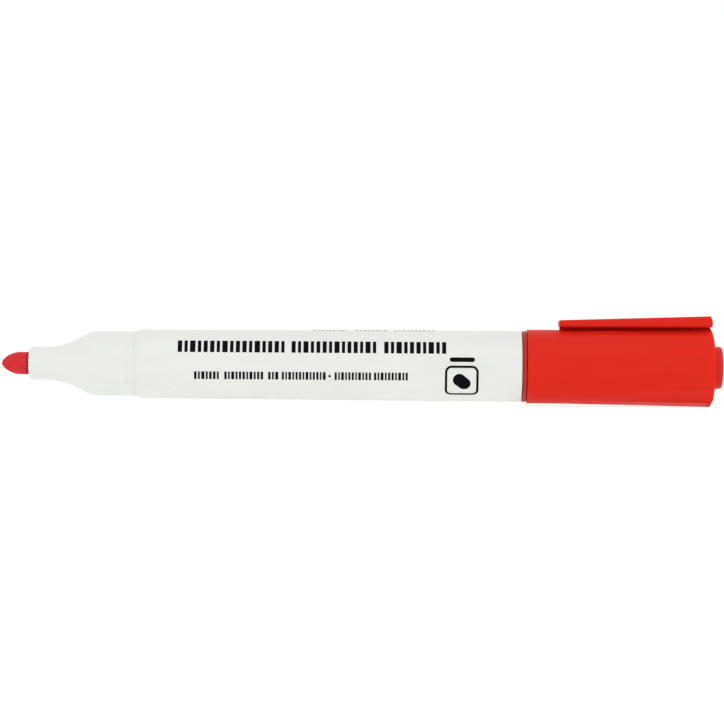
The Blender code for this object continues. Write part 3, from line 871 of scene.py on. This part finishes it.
def fluted(station, angle, radius):
    """Slightly hollow flats with crisp ridges, which fade in along the cap. The bore stays round."""
    if station < FLUTE_START or radius < CAP_REAR_BORE + 0.3:
        return radius
    half_pitch = math.pi / FLUTES
    offset = (angle - FLUTE_PHASE) % (2 * half_pitch) - half_pitch
    flat = radius * math.cos(half_pitch) / math.cos(offset)
    hollow = FLUTE_DEPTH * (1 - (offset / half_pitch) ** 2)
    return between(radius, flat - hollow, smooth_step(FLUTE_START, FLUTE_FULL, station))


def cap_painted_light(station, angle):
    """Painted highlight on the ridges, which fades out on the ridges that face down, and a painted glow on
    the rear rim that dims on the crown.
    """
    pitch = math.tau / FLUTES
    turn = (angle - FLUTE_PHASE) % pitch
    ridge = max(0.0, 1 - min(turn, pitch - turn) / RIDGE_REACH)
    ridge *= smooth_step(-0.7, 0.0, math.cos(angle)) * smooth_step(FLUTE_START, FLUTE_FULL, station)
    rim = smooth_step(CAP_CORNER - RIM_LENGTH, CAP_CORNER, station)
    rim -= 0.5 * smooth_step(CAP_CHAMFER, CROWN_TOP, station)
    return max(rim, ridge)


def make_cap():
    """The cap's shell, from its mouth to the hole in its crown that the button fills."""
    outline = filleted(
        [
            (CAP_EDGE + 1.0, CAP_BORE),
            (CAP_EDGE, CAP_BORE + 0.25, 0.1),
            (CAP_EDGE, CAP_MOUTH_RADIUS, 0.16),
            (CAP_PARALLEL_END, CAP_MOUTH_RADIUS, 6.0),
            (CAP_CORNER, cap_radius(CAP_CORNER), 0.2),
            (CAP_CHAMFER, CAP_CHAMFER_RADIUS, 0.5),
            (CROWN_SHOULDER, CROWN_SHOULDER_RADIUS, 1.5),
            (CROWN_TOP, BUTTON_HOLE_RADIUS + 0.1, 0.1),
            (CROWN_TOP - 0.1, BUTTON_HOLE_RADIUS),
            (CROWN_INNER, BUTTON_HOLE_RADIUS),
            (CROWN_INNER, CAP_REAR_BORE, 0.3),
            (CAP_RING_STATION + 2 * CAP_RING_HALF_WIDTH, CAP_BORE, 0.2),
            (CAP_RING_STATION + CAP_RING_HALF_WIDTH, CAP_RING_RADIUS, 0.2),
            (CAP_RING_STATION - CAP_RING_HALF_WIDTH, CAP_RING_RADIUS, 0.2),
            (CAP_RING_STATION - 2 * CAP_RING_HALF_WIDTH, CAP_BORE, 0.2),
        ]
    )
    verts, faces = lathe(divided(outline, longest=1.0), form=fluted)
    cap = finished(
        "cap_outer_shell", verts, faces, CAP_RED, "cap", ["cap_shell"], sharp=50
    )
    # Painted highlights on the ridges and a painted glow at the rear rim.
    mark_painted_light(cap, cap_painted_light)
    return cap


def make_liner():
    """The inner cap, its sealing lip, and the button that shows in the crown."""
    outline = filleted(
        [
            (LINER_END, 0.0),
            (LINER_END, LINER_BORE, 0.4),
            (LINER_MOUTH + LINER_LIP_LENGTH, LINER_BORE, 0.4),
            (LINER_MOUTH, LINER_LIP_BORE, 0.1),
            (LINER_MOUTH, LINER_LIP_RADIUS, 0.1),
            (LINER_MOUTH + LINER_LIP_LENGTH, BUTTON_RADIUS, 0.4),
            (FLANGE_FRONT, BUTTON_RADIUS, 0.2),
            (FLANGE_FRONT, LINER_FLANGE_RADIUS, 0.15),
            (FLANGE_END, LINER_FLANGE_RADIUS, 0.15),
            (FLANGE_END, BUTTON_RADIUS),
            (LENGTH, BUTTON_RADIUS, BUTTON_ROUNDING),
            (LENGTH, GATE_RADIUS + 0.2, 0.2),
            (LENGTH - GATE_DEPTH, GATE_RADIUS, 0.2),
            (LENGTH - GATE_DEPTH, 0.0),
        ]
    )
    verts, faces = lathe(divided(outline, longest=2.0))
    return finished("liner_with_button", verts, faces, LINER_RED, "cap", ["cap_liner"])


# ---------------------------------------------------------------- clip


def clip_levels(station):
    """The heights of the clip's underside and top at a station."""
    share = (station - CLIP_FRONT) / (CLIP_TAPER_END - CLIP_FRONT)
    return between(*CLIP_UNDERSIDES, share), between(*CLIP_TOPS, share)


def bend_with_clip(piece):
    """Bakes the piece's placement into its points; the piece is not bent."""
    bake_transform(piece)


def make_clip():
    """The clip from its free end to its root over the crown."""
    levels = [(CLIP_FRONT + ahead, inset) for ahead, inset in CLIP_FRONT_INSETS]
    for step in range(1, CLIP_STEPS + 1):
        levels.append((between(CLIP_FRONT + 0.3, CLIP_END - 0.55, step / CLIP_STEPS), 0.0))
    levels += [(CLIP_END - back, inset) for back, inset in CLIP_END_INSETS]
    sections = []
    for station, inset in levels:
        low, high = clip_levels(min(station, CLIP_END - 0.5))
        low += inset * 0.6
        leaned = smooth_step(CLIP_END - CLIP_LEAN_LENGTH, CLIP_END, station)
        high -= inset + CLIP_LEAN_DEPTH * max(leaned - 0.35, 0.0)
        section = (station, CLIP_WIDTH / 2 - inset, low, high, CLIP_TOP_ROUNDING, CLIP_LOW_ROUNDING)
        sections.append(rounded_box_ring(*section, crown=CLIP_CROWN))
    verts, faces = lofted(sections)
    clip = finished(
        "clip_arm_and_root", verts, faces, CAP_RED, None, ["cap_clip"], sharp=50
    )
    bend_with_clip(clip)
    return clip


def make_keel():
    """The narrow rib under the arm, which closes most of the gap to the cap. Its darker, duller red is
    painted shade.
    """
    sections = []
    for step in range(KEEL_STEPS + 1):
        station = between(CLIP_FRONT + 0.15, CLIP_ROOT + 0.4, step / KEEL_STEPS)
        inside_arm = clip_levels(station)[0] + 0.3
        fluting = smooth_step(FLUTE_START, FLUTE_FULL, station)
        foot = cap_radius(station) * between(1.0, math.cos(FLUTE_PHASE), fluting) - KEEL_SINK
        sections.append(rounded_box_ring(station, KEEL_WIDTH / 2, foot, inside_arm, 0.05, 0.05))
    verts, faces = lofted(sections)
    keel = finished("clip_keel", verts, faces, RIB_RED_PAINTED_SHADE, None, sharp=50)
    bend_with_clip(keel)
    return keel


def make_web():
    """The web that joins the clip's root to the cap's wall. Its darker, duller red is painted shade."""
    sections = []
    for step in range(WEB_STEPS + 1):
        station = between(WEB_START, WEB_END, step / WEB_STEPS)
        inset = 0.35 * (1 - smooth_step(WEB_START, WEB_START + 0.5, station))
        inset += 0.15 * smooth_step(WEB_END - 0.3, WEB_END, station)
        half_width = WEB_HALF_WIDTH - inset
        sections.append(rounded_box_ring(station, half_width, WEB_LOW, WEB_HIGH, 0.15, 0.15))
    verts, faces = lofted(sections)
    return finished("clip_web", verts, faces, RIB_RED_PAINTED_SHADE, "cap", sharp=50)


# ---------------------------------------------------------------- stage, light and camera, in metres

FLOOR_REACH = 3.0
FLOOR_COLOUR = (0.45, 0.48, 0.45, 1.0)
FLOOR_GLOW = 0.60
SURROUND_LIGHT = 0.885
CAMERA_DISTANCE = 0.82
CAMERA_ABOVE_AXIS = 0.68 * MM
CAMERA_ROLL = math.radians(0.40)
# How much wider the view is than the marker, as a share of the marker's length.
VIEW_MARGIN = 1 / 180


def make_floor():
    """A plain pale surface under the marker, bright enough that shadows on it stay faint."""
    mesh = bpy.data.meshes.new("floor")
    corners = [(x * FLOOR_REACH, y * FLOOR_REACH, 0) for x, y in ((-1, -1), (1, -1), (1, 1), (-1, 1))]
    mesh.from_pydata(corners, [], [(0, 1, 2, 3)])
    material = bpy.data.materials.new("pale_floor")
    material.use_nodes = True
    shader = material.node_tree.nodes["Principled BSDF"]
    shader.inputs["Base Color"].default_value = FLOOR_COLOUR
    shader.inputs["Roughness"].default_value = 0.9
    shader.inputs["Specular IOR Level"].default_value = 0.0
    shader.inputs["Emission Color"].default_value = (1.0, 1.0, 1.0, 1.0)
    shader.inputs["Emission Strength"].default_value = FLOOR_GLOW
    mesh.materials.append(material)
    floor = bpy.data.objects.new("floor", mesh)
    bpy.context.scene.collection.objects.link(floor)


def make_world():
    """An even white surround, a little dimmer as light than as backdrop."""
    surround = bpy.data.worlds.new("studio")
    surround.use_nodes = True
    tree = surround.node_tree
    backdrop = tree.nodes["Background"]
    backdrop.inputs["Strength"].default_value = 1.0
    backdrop.inputs["Color"].default_value = (1.0, 1.0, 1.0, 1.0)
    light = tree.nodes.new("ShaderNodeBackground")
    light.inputs["Color"].default_value = (1.0, 1.0, 1.0, 1.0)
    light.inputs["Strength"].default_value = SURROUND_LIGHT
    seen = tree.nodes.new("ShaderNodeLightPath")
    mix = tree.nodes.new("ShaderNodeMixShader")
    tree.links.new(seen.outputs["Is Camera Ray"], mix.inputs["Fac"])
    tree.links.new(light.outputs["Background"], mix.inputs[1])
    tree.links.new(backdrop.outputs["Background"], mix.inputs[2])
    tree.links.new(mix.outputs["Shader"], tree.nodes["World Output"].inputs["Surface"])
    bpy.context.scene.world = surround


def soft_light(name, place, size, power):
    """A square area light aimed at the middle of the marker."""
    data = bpy.data.lights.new(name, "AREA")
    data.shape = "SQUARE"
    data.size = size
    data.energy = power
    light = bpy.data.objects.new(name, data)
    light.location = place
    light.rotation_mode = "QUATERNION"
    target = Vector((0.0, 0.0, AXIS_Z))
    light.rotation_quaternion = (Vector(place) - target).to_track_quat("Z", "Y")
    bpy.context.scene.collection.objects.link(light)


def make_camera():
    """Level with the marker and square to it, with the view's sides just past its two ends."""
    view_width = LENGTH * MM * (1 + VIEW_MARGIN)
    data = bpy.data.cameras.new("camera")
    data.sensor_width = 36.0
    data.lens = data.sensor_width * CAMERA_DISTANCE / view_width
    data.clip_start = 0.01
    camera = bpy.data.objects.new("camera", data)
    middle_x = NIB_TIP_X + LENGTH / 2 * MM
    camera.matrix_world = (
        Matrix.Translation((middle_x, -CAMERA_DISTANCE, AXIS_Z + CAMERA_ABOVE_AXIS))
        @ Matrix.Rotation(math.radians(90), 4, "X")
        @ Matrix.Rotation(CAMERA_ROLL, 4, "Z")
    )
    bpy.context.scene.collection.objects.link(camera)
    bpy.context.scene.camera = camera


def main():
    dress_reservoir()
    make_nib()
    make_nose()
    make_barrel()
    make_prints()
    make_plug()
    make_cap()
    make_liner()
    make_web()
    make_keel()
    make_clip()
    make_floor()
    make_world()
    soft_light("key", place=(-0.1, -0.55, 0.75), size=0.6, power=0.9)
    make_camera()
    bpy.context.scene.view_settings.view_transform = "Standard"


main()
